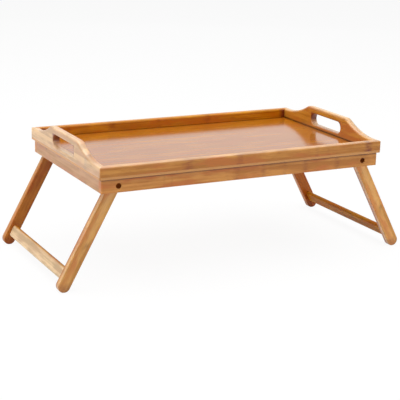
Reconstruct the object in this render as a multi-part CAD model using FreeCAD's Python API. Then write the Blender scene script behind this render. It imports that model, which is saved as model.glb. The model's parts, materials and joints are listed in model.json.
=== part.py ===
import FreeCAD, Part
import math
import os

# A bed tray table: a shallow tray with two handled end boards, on two splayed leg frames that
# fold up under it. Millimetres, +X along the tray, +Y to the back, +Z up. The origin lies on the
# floor under the tray's middle. Every piece is drawn at the front left and mirrored from there.

# ---- Upper frame: two rails, two handled end boards, mitred at the corners ----
tray_length = 500.0
tray_depth = 300.0
board_thickness = 12.5
rail_height = 16.0
board_edge_radius = 3.5
board_foot_radius = 0.8
corner_radius = 3.0

# ---- Handles: a level crest between two ogee curves, with a long slot for the fingers ----
handle_rise = 20.5
crest_half_length = 54.0
crest_radius = 20.0
ogee_run = 80.0
slot_length = 92.0
slot_height = 20.0
slot_sill = 6.0
slot_edge_radius = 2.0

# ---- Panel: a thin board that the frame stands on, flush with its outer faces ----
panel_thickness = 4.0
panel_edge_radius = 0.6

# ---- Apron: four strips under the panel, set in from its edge ----
apron_height = 22.0
apron_inset = 4.5
side_apron_thickness = 10.0
end_apron_thickness = 12.0
apron_edge_radius = 1.0
stop_bevel_height = 2.0

# ---- Leg frames ----
leg_width = 19.5
leg_thickness = 12.0
leg_edge_radius = 1.5
foot_reach = 171.5
sole_cut = 0.5
splay_angle = 28.5
crossbar_reach = 156.5
crossbar_width = 20.0
crossbar_thickness = 8.0
crossbar_edge_radius = 3.5
tenon_width = 13.0
tenon_thickness = 4.5
tenon_length = 8.0

# ---- Pivots: a recessed cross-head bolt, a washer and a round nut at each leg ----
bolt_radius = 2.5
bolt_head_radius = 4.0
bolt_head_height = 2.5
bolt_head_recess = 1.5
cross_slot_length = 4.4
cross_slot_width = 1.0
cross_slot_depth = 1.4
cross_slot_turn = 45.0
washer_radius = 7.0
washer_thickness = 1.0
nut_radius = 4.5
nut_length = 4.0
nut_recess = 0.5

# ---- Hidden joinery ----
key_length = 7.0
key_width = 6.0
key_thickness = 3.0
frame_dowel_radius = 2.0
frame_dowel_bite = 10.0
side_dowel_spacing = 300.0
end_dowel_spacing = 184.0
apron_dowel_radius = 3.0
apron_dowel_bite = 6.0
apron_dowel_length = 26.0

# ---- Clearances ----
joinery_clearance = 0.1
dowel_end_clearance = 0.5
head_clearance = 0.4
running_clearance = 0.05
side_play = 0.1
nut_side_clearance = 0.5
heel_clearance = 1.85
stop_clearance = 0.1

# ---- Levels, from the floor up ----
splay = math.radians(splay_angle)
leg_radius = leg_width / 2
foot_z = leg_radius - sole_cut
pivot_z = foot_z + foot_reach * math.cos(splay)
panel_bottom = pivot_z + leg_radius + heel_clearance
apron_bottom = panel_bottom - apron_height
panel_top = panel_bottom + panel_thickness
rail_top = panel_top + rail_height
handle_top = rail_top + handle_rise

# ---- Distances from the middle, along X ----
half_length = tray_length / 2
rail_inner_x = half_length - board_thickness
apron_outer_x = half_length - apron_inset
apron_inner_x = apron_outer_x - end_apron_thickness
stop_drop = pivot_z - apron_bottom - stop_bevel_height
stop_offset = leg_radius + stop_clearance
pivot_x = apron_inner_x - (stop_offset + stop_drop * math.sin(splay)) / math.cos(splay)

# ---- Distances from the middle, along Y ----
half_depth = tray_depth / 2
rail_inner_y = half_depth - board_thickness
apron_outer_y = half_depth - apron_inset
apron_inner_y = apron_outer_y - side_apron_thickness
washer_inner_y = apron_inner_y - washer_thickness
leg_outer_y = washer_inner_y - side_play
leg_inner_y = leg_outer_y - leg_thickness
head_seat_y = apron_outer_y - bolt_head_recess - bolt_head_height
nut_inner_y = leg_inner_y + nut_recess
nut_outer_y = nut_inner_y + nut_length
nut_floor_y = nut_outer_y + side_play
bolt_end_y = nut_inner_y + nut_recess

# The dowels between frame and apron stand in the middle of the strip where the two overlap.
frame_dowel_x = (rail_inner_x + apron_outer_x) / 2
frame_dowel_y = (rail_inner_y + apron_outer_y) / 2

X_AXIS = FreeCAD.Vector(1, 0, 0)
Y_AXIS = FreeCAD.Vector(0, 1, 0)
Z_AXIS = FreeCAD.Vector(0, 0, 1)
ORIGIN = FreeCAD.Vector(0, 0, 0)


def block(x0, x1, y0, y1, z0, z1):
    """A box between two corners."""
    return Part.makeBox(x1 - x0, y1 - y0, z1 - z0, FreeCAD.Vector(x0, y0, z0))


def rod_y(radius, x, z, y0, y1):
    """A cylinder along Y."""
    return Part.makeCylinder(radius, y1 - y0, FreeCAD.Vector(x, y0, z), Y_AXIS)


def rod_z(radius, x, y, z0, z1):
    """A cylinder along Z."""
    return Part.makeCylinder(radius, z1 - z0, FreeCAD.Vector(x, y, z0), Z_AXIS)


def prism(points, direction):
    """A straight-sided prism on a closed outline."""
    return Part.Face(Part.makePolygon(points + points[:1])).extrude(direction)


def to_right(shape):
    return shape.mirror(ORIGIN, X_AXIS)


def to_back(shape):
    return shape.mirror(ORIGIN, Y_AXIS)


def at_ends(shape):
    """The piece at the left and its mirror at the right."""
    return [shape, to_right(shape)]


def at_corners(shape):
    """The piece at the front left and its three mirrors."""
    return at_ends(shape) + at_ends(to_back(shape))


def cut_all(shape, tools):
    for tool in tools:
        shape = shape.cut(tool)
    return shape


def safe_radius(radius, wall):
    """A rounding never takes more than its wall leaves for it."""
    return min(radius, 0.45 * wall)


def edges_where(shape, test):
    return [edge for edge in shape.Edges if test(edge.BoundBox)]


# ---- Upper frame ----

def outline(z0, z1):
    """The tray's plan, with its rounded corners, between two levels."""
    plan = block(-half_length, half_length, -half_depth, half_depth, z0, z1)
    upright = edges_where(plan, lambda box: box.ZLength > 0.5 * (z1 - z0))
    return plan.makeFillet(corner_radius, upright)


def front_mitre():
    """The plan of the front rail, cut at 45 degrees at both corners."""
    corners = [
        FreeCAD.Vector(-half_length, -half_depth, panel_top),
        FreeCAD.Vector(half_length, -half_depth, panel_top),
        FreeCAD.Vector(rail_inner_x, -rail_inner_y, panel_top),
        FreeCAD.Vector(-rail_inner_x, -rail_inner_y, panel_top),
    ]
    return prism(corners, Z_AXIS * (rail_height + handle_rise))


def left_mitre():
    """The plan of the left end board, cut at 45 degrees at both corners."""
    corners = [
        FreeCAD.Vector(-half_length, half_depth, panel_top),
        FreeCAD.Vector(-half_length, -half_depth, panel_top),
        FreeCAD.Vector(-rail_inner_x, -rail_inner_y, panel_top),
        FreeCAD.Vector(-rail_inner_x, rail_inner_y, panel_top),
    ]
    return prism(corners, Z_AXIS * (rail_height + handle_rise))


def corner_key(clearance):
    """The loose key across the front left mitre, or its pocket."""
    length = key_length + 2 * clearance
    width = key_width + 2 * clearance
    thickness = key_thickness + 2 * clearance
    key = block(-length / 2, length / 2, -width / 2, width / 2, -thickness / 2, thickness / 2)
    key.rotate(ORIGIN, Z_AXIS, 45)
    middle_x = -(half_length + rail_inner_x) / 2
    middle_y = -(half_depth + rail_inner_y) / 2
    key.translate(FreeCAD.Vector(middle_x, middle_y, panel_top + rail_height / 2))
    return key


def frame_dowel(x, y, clearance, end_clearance):
    """An upright dowel through the panel, from apron to frame, or its hole."""
    low = panel_bottom - frame_dowel_bite - end_clearance
    high = panel_top + frame_dowel_bite + end_clearance
    return rod_z(frame_dowel_radius + clearance, x, y, low, high)


def front_rail():
    rail = block(-half_length, half_length, -half_depth, -rail_inner_y, panel_top, rail_top)
    long_top = edges_where(rail, lambda box: box.XLength > board_thickness and box.ZMin > panel_top)
    rail = rail.makeFillet(safe_radius(board_edge_radius, board_thickness), long_top)

    def at_inner_foot(box):
        low = box.XLength > board_thickness and box.ZMax < panel_top + 0.01
        return low and box.YMin > -rail_inner_y - 0.01

    inner_foot = edges_where(rail, at_inner_foot)
    rail = rail.makeFillet(safe_radius(board_foot_radius, board_thickness), inner_foot)
    return rail.common(front_mitre()).common(outline(panel_top, rail_top))


def ogee(side):
    """Two arcs that lead from the crest down to the rail's level, on the side given as +1 or -1."""
    total_radius = (handle_rise ** 2 + ogee_run ** 2) / (2 * handle_rise)
    turn = math.asin(ogee_run / total_radius)
    hollow_radius = total_radius - crest_radius
    x = -half_length

    def crest_point(angle):
        y = crest_half_length + crest_radius * math.sin(angle)
        return FreeCAD.Vector(x, side * y, handle_top - crest_radius * (1 - math.cos(angle)))

    def hollow_point(angle):
        y = crest_half_length + ogee_run - hollow_radius * math.sin(angle)
        return FreeCAD.Vector(x, side * y, rail_top + hollow_radius * (1 - math.cos(angle)))

    crest = Part.Arc(crest_point(0), crest_point(turn / 2), crest_point(turn))
    hollow = Part.Arc(hollow_point(turn), hollow_point(turn / 2), hollow_point(0))
    return [crest.toShape(), hollow.toShape()]


def slot():
    """The finger slot through the left end board, with half-round ends."""
    radius = slot_height / 2
    middle_z = panel_top + slot_sill + radius
    reach = slot_length / 2 - radius
    x0 = -half_length - board_thickness
    length = 3 * board_thickness
    hole = block(x0, x0 + length, -reach, reach, middle_z - radius, middle_z + radius)
    for y in (-reach, reach):
        end = Part.makeCylinder(radius, length, FreeCAD.Vector(x0, y, middle_z), X_AXIS)
        hole = hole.fuse(end)
    return hole.removeSplitter()


def left_end_board():
    x = -half_length
    foot_y = crest_half_length + ogee_run

    def line(y0, z0, y1, z1):
        return Part.makeLine(FreeCAD.Vector(x, y0, z0), FreeCAD.Vector(x, y1, z1))

    edges = [
        line(-half_depth, panel_top, half_depth, panel_top),
        line(half_depth, panel_top, half_depth, rail_top),
        line(half_depth, rail_top, foot_y, rail_top),
        line(crest_half_length, handle_top, -crest_half_length, handle_top),
        line(-foot_y, rail_top, -half_depth, rail_top),
        line(-half_depth, rail_top, -half_depth, panel_top),
    ]
    edges += ogee(1) + ogee(-1)
    face = Part.Face(Part.Wire(Part.__sortEdges__(edges)))
    board = face.extrude(X_AXIS * board_thickness)

    def on_top(box):
        return box.XLength < 0.01 and box.YLength > 0.01 and box.ZMin > rail_top - 0.01

    board = board.makeFillet(safe_radius(board_edge_radius, board_thickness), edges_where(board, on_top))
    board = board.cut(slot())
    slot_top = panel_top + slot_sill + slot_height

    def on_slot(box):
        level = box.ZMin > panel_top + 0.01 and box.ZMax < slot_top + 0.01
        return level and box.XLength < 0.01 and max(abs(box.YMin), abs(box.YMax)) < slot_length / 2 + 0.01

    board = board.makeFillet(safe_radius(slot_edge_radius, board_thickness), edges_where(board, on_slot))

    def at_inner_foot(box):
        low = box.YLength > board_thickness and box.ZMax < panel_top + 0.01
        return low and box.XMin > -rail_inner_x - 0.01

    inner_foot = edges_where(board, at_inner_foot)
    board = board.makeFillet(safe_radius(board_foot_radius, board_thickness), inner_foot)
    return board.common(left_mitre()).common(outline(panel_top, handle_top))


# ---- Panel and apron ----

def panel():
    """The tray's plan as a thin board, with its lower rim eased."""
    board = outline(panel_bottom, panel_top)
    rim = edges_where(board, lambda box: box.ZMax < panel_bottom + 0.01)
    return board.makeFillet(safe_radius(panel_edge_radius, panel_thickness), rim)


def bolt_hole():
    """The hole for the front left pivot bolt in the side apron, with its deep head recess."""
    hole = rod_y(bolt_radius + joinery_clearance, -pivot_x, pivot_z, -apron_outer_y, -apron_inner_y)
    recess = rod_y(bolt_head_radius + head_clearance, -pivot_x, pivot_z, -apron_outer_y, -head_seat_y)
    return hole.fuse(recess)


def apron_dowel(clearance, end_clearance):
    """The dowel from the front side apron into the left end apron, or its hole."""
    x = -(apron_outer_x + apron_inner_x) / 2
    z = (apron_bottom + panel_bottom) / 2
    start = -apron_inner_y - apron_dowel_bite - end_clearance
    end = -apron_inner_y - apron_dowel_bite + apron_dowel_length + end_clearance
    return rod_y(apron_dowel_radius + clearance, x, z, start, end)


def front_side_apron():
    """The front apron, with its lower edges and its two outer upright corners eased."""
    apron = block(-apron_outer_x, apron_outer_x, -apron_outer_y, -apron_inner_y, apron_bottom, panel_bottom)

    def eased(box):
        low = box.ZMax < apron_bottom + 0.01
        upright = box.ZLength > 0.5 * apron_height and box.YMax < -apron_outer_y + 0.01
        return low or upright

    return apron.makeFillet(safe_radius(apron_edge_radius, side_apron_thickness), edges_where(apron, eased))


def left_end_apron():
    """The end apron, with the bevel on its inner lower edge that the splayed legs lean on."""
    apron = block(-apron_outer_x, -apron_inner_x, -apron_inner_y, apron_inner_y, apron_bottom, panel_bottom)

    def at_outer_foot(box):
        low = box.YLength > apron_inner_y and box.ZMax < apron_bottom + 0.01
        return low and box.XMax < -apron_outer_x + 0.01

    outer_foot = edges_where(apron, at_outer_foot)
    apron = apron.makeFillet(safe_radius(apron_edge_radius, end_apron_thickness), outer_foot)
    bevel_run = stop_bevel_height * math.tan(splay)
    corners = [
        FreeCAD.Vector(-apron_inner_x, -apron_inner_y, apron_bottom + stop_bevel_height),
        FreeCAD.Vector(-apron_inner_x - bevel_run, -apron_inner_y, apron_bottom),
        FreeCAD.Vector(-apron_inner_x, -apron_inner_y, apron_bottom),
    ]
    return apron.cut(prism(corners, Y_AXIS * (2 * apron_inner_y)))


# ---- Leg frames, drawn upright with the pivot at the origin ----

def stand(shape):
    """Turns an upright leg piece out to the left by the splay and hangs it on the left pivots."""
    shape.rotate(ORIGIN, Y_AXIS, splay_angle)
    shape.translate(FreeCAD.Vector(-pivot_x, 0, pivot_z))
    return shape


def tenon(clearance):
    """The crossbar's front tenon, or its mortise in the front leg."""
    half_thickness = tenon_thickness / 2 + clearance
    half_width = tenon_width / 2 + clearance
    start = -leg_inner_y - tenon_length - clearance
    return block(
        -half_thickness, half_thickness, start, -leg_inner_y,
        -crossbar_reach - half_width, -crossbar_reach + half_width,
    )


def front_left_leg():
    """A bar with round ends, bored for the pivot and mortised for the crossbar."""
    leg = block(-leg_radius, leg_radius, -leg_outer_y, -leg_inner_y, -foot_reach, 0)
    leg = leg.fuse(rod_y(leg_radius, 0, 0, -leg_outer_y, -leg_inner_y))
    leg = leg.fuse(rod_y(leg_radius, 0, -foot_reach, -leg_outer_y, -leg_inner_y)).removeSplitter()
    around = edges_where(leg, lambda box: box.YLength < 0.01)
    leg = leg.makeFillet(safe_radius(leg_edge_radius, leg_thickness), around)
    bore = rod_y(bolt_radius + running_clearance, 0, 0, -leg_outer_y, -leg_inner_y)
    pocket = rod_y(nut_radius + nut_side_clearance, 0, 0, -nut_floor_y, -leg_inner_y)
    leg = stand(cut_all(leg, [bore, pocket, tenon(joinery_clearance)]))
    reach = foot_reach + leg_width
    floor = block(-pivot_x - reach, -pivot_x + reach, -half_depth, 0, -leg_width, 0)
    return leg.cut(floor)


def left_crossbar():
    """A flat bar with rounded edges between the two legs, tenoned into both."""
    bar = block(
        -crossbar_thickness / 2, crossbar_thickness / 2, -leg_inner_y, leg_inner_y,
        -crossbar_reach - crossbar_width / 2, -crossbar_reach + crossbar_width / 2,
    )
    along = edges_where(bar, lambda box: box.YLength > leg_inner_y)
    bar = bar.makeFillet(safe_radius(crossbar_edge_radius, crossbar_thickness), along)
    return stand(bar.fuse(tenon(0)).fuse(to_back(tenon(0))))


# ---- Pivot hardware at the front left ----

def cross_slots():
    """The cross in the bolt's head, turned to stand like an X."""
    face = -head_seat_y - bolt_head_height
    half_length_x = cross_slot_length / 2
    half_width = cross_slot_width / 2
    depth = cross_slot_depth
    level = block(-half_length_x, half_length_x, face, face + depth, -half_width, half_width)
    upright = block(-half_width, half_width, face, face + depth, -half_length_x, half_length_x)
    slots = level.fuse(upright)
    slots.rotate(ORIGIN, Y_AXIS, cross_slot_turn)
    slots.translate(FreeCAD.Vector(-pivot_x, 0, pivot_z))
    return slots


def pivot_bolt():
    head = rod_y(bolt_head_radius, -pivot_x, pivot_z, -head_seat_y - bolt_head_height, -head_seat_y)
    shank = rod_y(bolt_radius, -pivot_x, pivot_z, -head_seat_y, -bolt_end_y)
    return head.fuse(shank).cut(cross_slots())


def pivot_washer():
    disc = rod_y(washer_radius, -pivot_x, pivot_z, -apron_inner_y, -washer_inner_y)
    hole = rod_y(bolt_radius + joinery_clearance, -pivot_x, pivot_z, -apron_inner_y, -washer_inner_y)
    return disc.cut(hole)


def pivot_nut():
    nut = rod_y(nut_radius, -pivot_x, pivot_z, -nut_outer_y, -nut_inner_y)
    thread = rod_y(bolt_radius + running_clearance, -pivot_x, pivot_z, -nut_outer_y, -nut_inner_y)
    return nut.cut(thread)


# ---- The whole table ----

def build():
    """All pieces, by name, as solids in their places with the leg frames standing open."""
    key_pockets = at_corners(corner_key(joinery_clearance))
    side_dowel_x = side_dowel_spacing / 2
    end_dowel_y = end_dowel_spacing / 2
    dowel_spots = {
        "side": (-side_dowel_x, -frame_dowel_y),
        "end": (-frame_dowel_x, -end_dowel_y),
    }
    dowel_holes = []
    for x, y in dowel_spots.values():
        dowel_holes += at_corners(frame_dowel(x, y, joinery_clearance, dowel_end_clearance))
    apron_dowel_holes = at_corners(apron_dowel(joinery_clearance, dowel_end_clearance))

    rail = cut_all(front_rail(), key_pockets + dowel_holes)
    end_board = cut_all(left_end_board(), key_pockets + dowel_holes)
    side_apron = cut_all(front_side_apron(), at_ends(bolt_hole()) + dowel_holes + apron_dowel_holes)
    end_apron = cut_all(left_end_apron(), dowel_holes + apron_dowel_holes)

    pieces = {
        "front_rail": rail,
        "back_rail": to_back(rail),
        "left_end_board": end_board,
        "right_end_board": to_right(end_board),
        "tray_panel": cut_all(panel(), dowel_holes),
        "front_apron": side_apron,
        "back_apron": to_back(side_apron),
        "left_apron": end_apron,
        "right_apron": to_right(end_apron),
        "left_crossbar": left_crossbar(),
    }
    pieces["right_crossbar"] = to_right(pieces["left_crossbar"])

    by_corner = {
        "leg": front_left_leg(),
        "pivot_bolt": pivot_bolt(),
        "pivot_washer": pivot_washer(),
        "pivot_nut": pivot_nut(),
        "corner_key": corner_key(0),
        "apron_dowel": apron_dowel(0, 0),
    }
    for kind, (x, y) in dowel_spots.items():
        by_corner["frame_dowel_" + kind] = frame_dowel(x, y, 0, 0)
    corner_names = ["front_left", "front_right", "back_left", "back_right"]
    for kind, shape in by_corner.items():
        for corner, copy in zip(corner_names, at_corners(shape)):
            pieces[corner + "_" + kind] = copy
    return pieces


def main():
    os.makedirs("parts", exist_ok=True)
    pieces = build()
    for name, shape in pieces.items():
        solid = shape.Solids[0] if len(shape.Solids) == 1 else shape
        solid.exportStep("parts/" + name + ".step")
    print("pieces", len(pieces), "pivot x", round(pivot_x, 4), "pivot z", round(pivot_z, 4))
    print("apron bottom", round(apron_bottom, 3), "panel", round(panel_bottom, 3), round(panel_top, 3))
    print("rail top", round(rail_top, 3), "handle top", round(handle_top, 3))


main()
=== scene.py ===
"""Dresses a bamboo bed tray table: boards with rounded edges, folding legs, bolts, studio."""
import json
import math
from collections import namedtuple

import bmesh
import bpy
from bmesh.types import BMEdge, BMVert
from bpy.props import FloatProperty, FloatVectorProperty, IntProperty, PointerProperty
from bpy.types import Operator, Panel, PropertyGroup
from mathutils import Matrix, Vector

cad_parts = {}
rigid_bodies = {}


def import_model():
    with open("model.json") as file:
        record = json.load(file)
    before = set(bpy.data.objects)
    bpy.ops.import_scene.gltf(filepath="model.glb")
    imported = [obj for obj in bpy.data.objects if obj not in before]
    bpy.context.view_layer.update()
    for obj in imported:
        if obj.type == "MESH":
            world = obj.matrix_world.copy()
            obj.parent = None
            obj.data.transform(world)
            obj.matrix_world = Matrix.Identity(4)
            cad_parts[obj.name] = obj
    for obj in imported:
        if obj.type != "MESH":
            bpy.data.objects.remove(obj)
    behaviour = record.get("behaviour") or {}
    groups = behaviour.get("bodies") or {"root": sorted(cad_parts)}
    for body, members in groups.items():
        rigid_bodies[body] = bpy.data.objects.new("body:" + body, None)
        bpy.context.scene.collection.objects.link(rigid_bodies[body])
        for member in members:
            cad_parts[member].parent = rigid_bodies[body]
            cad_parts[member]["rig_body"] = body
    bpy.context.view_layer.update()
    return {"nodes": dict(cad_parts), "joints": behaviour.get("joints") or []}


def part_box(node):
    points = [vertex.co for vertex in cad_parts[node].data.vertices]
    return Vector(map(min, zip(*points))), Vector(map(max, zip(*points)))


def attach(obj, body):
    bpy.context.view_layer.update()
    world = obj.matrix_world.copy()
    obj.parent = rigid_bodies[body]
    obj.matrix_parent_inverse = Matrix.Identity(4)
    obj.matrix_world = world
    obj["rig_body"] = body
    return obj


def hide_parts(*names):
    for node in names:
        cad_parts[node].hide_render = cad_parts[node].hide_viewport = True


bl_info = {
    "name": "Bamboo Bed Tray Table",
    "version": (1, 0, 0),
    "blender": (4, 5, 0),
    "location": "3D View > Sidebar > Tray Table",
    "description": "Boards, folding legs, pivot bolts and studio of a bamboo bed tray table",
    "category": "Object",
}

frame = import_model()

RIGHT = Vector((1, 0, 0))
BACK = Vector((0, 1, 0))
UP = Vector((0, 0, 1))
HINGES = {joint["child"]: Vector(joint["pos_m"]) for joint in frame["joints"]}
QUARTER = math.pi / 2

# Distances below which a vertex counts as being at a place, on a cut, or on its mirror image.
TINY = 1e-5
CUT_SLACK = 1e-7
SEAM_SLACK = 1e-6

SHARP_ANGLE = math.radians(35)
# Makes up for the splay, so that a leaning outer side gets the painted light in full.
OUTER_SIDE_GAIN = 1.3
# Half of the patch of an apron's face that a recess is cut into, and the wood left behind its bore.
PATCH_HALF_WIDTH = 0.009
BORE_WALL = 0.001
RECESS_FACETS = 40


# ---- Sizes and colours that a user would change ----

def length(name, description, default):
    """A size that a user may change, in metres."""
    return FloatProperty(name=name, description=description, default=default, min=0, unit="LENGTH")


def swatch(name, description, default):
    """A colour that a user may change."""
    return FloatVectorProperty(
        name=name, description=description, default=default, subtype="COLOR", size=3, min=0, max=1,
    )


class ShapeSizes(PropertyGroup):
    """Roundings and handle shape, which follow the table's solids."""

    top_rounding: length(
        "Top rounding", "Radius along the top edges of rails and end boards", 0.0035,
    )
    corner_rounding: length("Corner rounding", "Radius of the tray's four upright corners", 0.003)
    foot_rounding: length(
        "Foot rounding", "Radius of the boards' inner lower edges, by the panel", 0.0008,
    )
    panel_easing: length("Panel easing", "Radius around the panel's lower rim", 0.0006)
    stop_bevel: length("Stop bevel", "Height of the bevel that a standing leg leans on", 0.002)
    apron_easing: length(
        "Apron easing", "Radius of the aprons' lower edges and outer corners", 0.001,
    )
    leg_easing: length("Leg easing", "Radius around both faces of each leg", 0.0015)
    crossbar_rounding: length(
        "Crossbar rounding", "Radius of each crossbar's four long edges", 0.0035,
    )
    rail_height: length("Rail height", "Height of the rails above the panel", 0.016)
    crest_half_length: length("Crest half length", "Half of the handle's level top", 0.054)
    crest_radius: length("Crest radius", "Radius of the bend at each end of the crest", 0.020)
    ogee_run: length("Ogee run", "Length of the double curve from crest to rail", 0.080)
    slot_length: length("Slot length", "Length of the finger slot", 0.092)
    slot_height: length("Slot height", "Height of the finger slot", 0.020)
    slot_sill: length("Slot sill", "Height of the slot above the panel", 0.006)
    slot_rounding: length("Slot rounding", "Radius around the finger slot", 0.002)
    splay: FloatProperty(
        name="Splay", description="Lean of the standing legs",
        default=math.radians(28.5), unit="ROTATION",
    )
    foot_reach: length("Foot reach", "From a leg's pivot to the middle of its round foot", 0.1715)
    leg_width: length("Leg width", "Width of a leg's face", 0.0195)
    crossbar_reach: length(
        "Crossbar reach", "From a leg's pivot to the middle of the crossbar", 0.1565,
    )
    crossbar_width: length("Crossbar width", "Width of a crossbar's face", 0.020)
    crossbar_thickness: length("Crossbar thickness", "Thickness of a crossbar", 0.008)
    recess_radius: length("Bolt recess radius", "Radius of the recess for a bolt's head", 0.0044)
    recess_depth: length("Bolt recess depth", "Depth of the recess for a bolt's head", 0.004)
    bolt_bore: length("Bolt bore", "Radius of the bore that a bolt turns in", 0.00255)
    nut_pocket_radius: length(
        "Nut pocket radius", "Radius of the pocket on a leg's inner side", 0.005,
    )
    nut_pocket_depth: length(
        "Nut pocket depth", "Depth of the pocket on a leg's inner side", 0.0046,
    )
    rounding_steps: IntProperty(
        name="Rounding steps", description="Facets across a rounded edge", default=6, min=1,
    )


class BambooLooks(PropertyGroup):
    """Colours and figure of the varnished bamboo, with its painted light and shade."""

    pale: swatch("Pale strips", "Lightest bamboo strips", (0.560, 0.244, 0.040))
    deep: swatch("Deep strips", "Darkest bamboo strips", (0.400, 0.146, 0.012))
    blush: swatch("Blush", "Redder blotches in the strips", (0.460, 0.142, 0.018))
    knot: swatch("Knots", "Bands where the cane had its joints", (0.200, 0.065, 0.010))
    strip_width: length("Strip width", "Width of the glued strips", 0.020)
    ply: length("Ply", "Thickness of the glued strips", 0.0055)
    knot_pitch: length("Knot pitch", "Distance between knots along a strip", 0.31)
    # Painted shade: dark lines in joints and under edges, where shade falls.
    joint: swatch(
        "Joint shade", "Painted shade in joints and under edges", (0.060, 0.014, 0.003),
    )
    rim: swatch("Panel rim", "Paler sawn rim of the panel", (0.540, 0.228, 0.036))
    # Partly real, partly painted: the red-brown of knots and darker feet, and painted shade in the inner
    # corners and under the slots' roofs.
    stain_and_shade: swatch(
        "Stain and shade", "Warm red-brown of marked knots and feet, and painted shade in corners and slots", (0.190, 0.034, 0.006),
    )
    # Painted shade inside the bolt recesses.
    shade: swatch("Recess shade", "Painted shade inside the bolt recesses", (0.030, 0.010, 0.004))
    # Painted light: a paler tone on tops and on sides that face the lamps.
    painted_light_tone: swatch(
        "Painted light tone", "Paler tone painted on tops, legs' sides and outer sides as light", (0.690, 0.560, 0.370),
    )


class StudioSetup(PropertyGroup):
    """Camera, floor and lamps."""

    azimuth: FloatProperty(
        name="Azimuth", description="Camera's turn around the table", unit="ROTATION",
        default=math.radians(-27.490308),
    )
    elevation: FloatProperty(
        name="Elevation", description="Camera's height angle", unit="ROTATION",
        default=math.radians(15.718362),
    )
    roll: FloatProperty(
        name="Roll", description="Camera's turn about its own axis", unit="ROTATION",
        default=math.radians(1.4862596),
    )
    distance: FloatProperty(
        name="Distance", description="From the camera to its target", unit="LENGTH",
        default=1.980409,
    )
    target: FloatVectorProperty(
        name="Target", description="Point that the camera looks at", subtype="TRANSLATION",
        default=(-0.006822, 0.0, 0.076915),
    )
    focal_length: FloatProperty(
        name="Focal length", description="Lens in millimetres on a 36 mm wide sensor",
        default=105.8185,
    )
    paper: swatch("Paper", "Colour of the floor", (0.90, 0.90, 0.90))
    sky_level: FloatProperty(name="Sky level", description="Light from all round", default=0.1)
    top_power: FloatProperty(name="Top power", description="Watts of the large lamp above", default=98.0)
    left_power: FloatProperty(name="Left power", description="Watts of the lamp on the left", default=28.0)
    front_power: FloatProperty(name="Front power", description="Watts of the lamp in front", default=12.0)
    rim_power: FloatProperty(name="Rim power", description="Watts of the lamp behind", default=2.2)


# ---- Mesh helpers ----

def sides_of(node, axis):
    """A node's side of the middle, -1 or 1, and its outer and inner face along an axis."""
    low, high = (getattr(corner, axis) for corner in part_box(node))
    return (1, high, low) if low > 0 else (-1, low, high)


def whole(bm):
    """All that a mesh consists of."""
    return bm.verts[:] + bm.edges[:] + bm.faces[:]


def only(kind, parts):
    """The parts of one kind."""
    return [part for part in parts if isinstance(part, kind)]


def solid_box(low, high):
    """A box between two corners."""
    bm = bmesh.new()
    bmesh.ops.create_cube(bm, size=1.0)
    bmesh.ops.scale(bm, vec=high - low, verts=bm.verts)
    bmesh.ops.translate(bm, vec=(low + high) / 2, verts=bm.verts)
    return bm


def edges_where(bm, test):
    """Edges whose two ends both pass the test."""
    return [edge for edge in bm.edges if all(test(vert.co) for vert in edge.verts)]


def upright_edges(bm, test):
    """Upright edges at the places that pass the test."""
    found = edges_where(bm, test)
    return [e for e in found if (e.verts[0].co - e.verts[1].co).xy.length < TINY]


def round_edges(bm, edges, radius, steps):
    """Rounds edges off in a number of facets."""
    bmesh.ops.bevel(
        bm, geom=edges, offset=radius, offset_type="OFFSET", segments=steps, profile=0.5,
        affect="EDGES", material=-1, clamp_overlap=False,
    )


def saw_off(bm, point, outward):
    """Cuts a piece along a plane, drops the side that outward points to and closes the cut."""
    cut = bmesh.ops.bisect_plane(
        bm, geom=whole(bm), dist=CUT_SLACK, plane_co=point, plane_no=outward, clear_outer=True,
    )
    bmesh.ops.edgeloop_fill(bm, edges=only(BMEdge, cut["geom_cut"]))


def finish_piece(bm, name, node, material, light_share=lambda normal: 0.0):
    """Turns the bmesh into the shown piece for a node; light_share says how much painted light each side
    gets.
    """
    bmesh.ops.recalc_face_normals(bm, faces=bm.faces)
    mesh = bpy.data.meshes.new(name)
    bm.to_mesh(mesh)
    bm.free()
    paling = mesh.attributes.new("paling", "FLOAT", "POINT")
    paling.data.foreach_set("value", [light_share(vert.normal) for vert in mesh.vertices])
    mesh.polygons.foreach_set("use_smooth", [True] * len(mesh.polygons))
    mesh.set_sharp_from_angle(angle=SHARP_ANGLE)
    mesh.materials.append(material)
    piece = bpy.data.objects.new(name, mesh)
    bpy.context.scene.collection.objects.link(piece)
    weighted = piece.modifiers.new("Even shading", "WEIGHTED_NORMAL")
    weighted.keep_sharp = True
    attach(piece, frame["nodes"][node]["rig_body"])
    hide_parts(node)
    return piece


def on_top(normal):
    """Painted light on top."""
    return max(0.0, normal.z) ** 2


def on_sides(normal):
    """Painted light on the left and right sides, tops and soles, but not in front or at the back."""
    return 1.0 - abs(normal.y)


def on_outer_side(side):
    """Painted light on the side away from the middle, for a piece at the left (-1) or right (1)."""
    return lambda normal: min(1.0, max(0.0, OUTER_SIDE_GAIN * side * normal.x))


class Tracer:
    """Draws an outline in a mesh from vertex to vertex, with straight runs and arcs."""

    def __init__(self, bm, start):
        self.bm = bm
        self.first = bm.verts.new(start)
        self.tip = self.first

    def run(self, point):
        self.tip = bmesh.ops.extrude_vert_indiv(self.bm, verts=[self.tip])["verts"][0]
        self.tip.co = point

    def swing(self, centre, axis, angle, steps):
        made = bmesh.ops.spin(
            self.bm, geom=[self.tip], cent=centre, axis=axis, angle=angle, steps=steps,
        )
        self.tip = only(BMVert, made["geom_last"])[0]

    def close(self):
        self.bm.edges.new((self.tip, self.first))
        bmesh.ops.edgeloop_fill(self.bm, edges=self.bm.edges[:])


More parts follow.
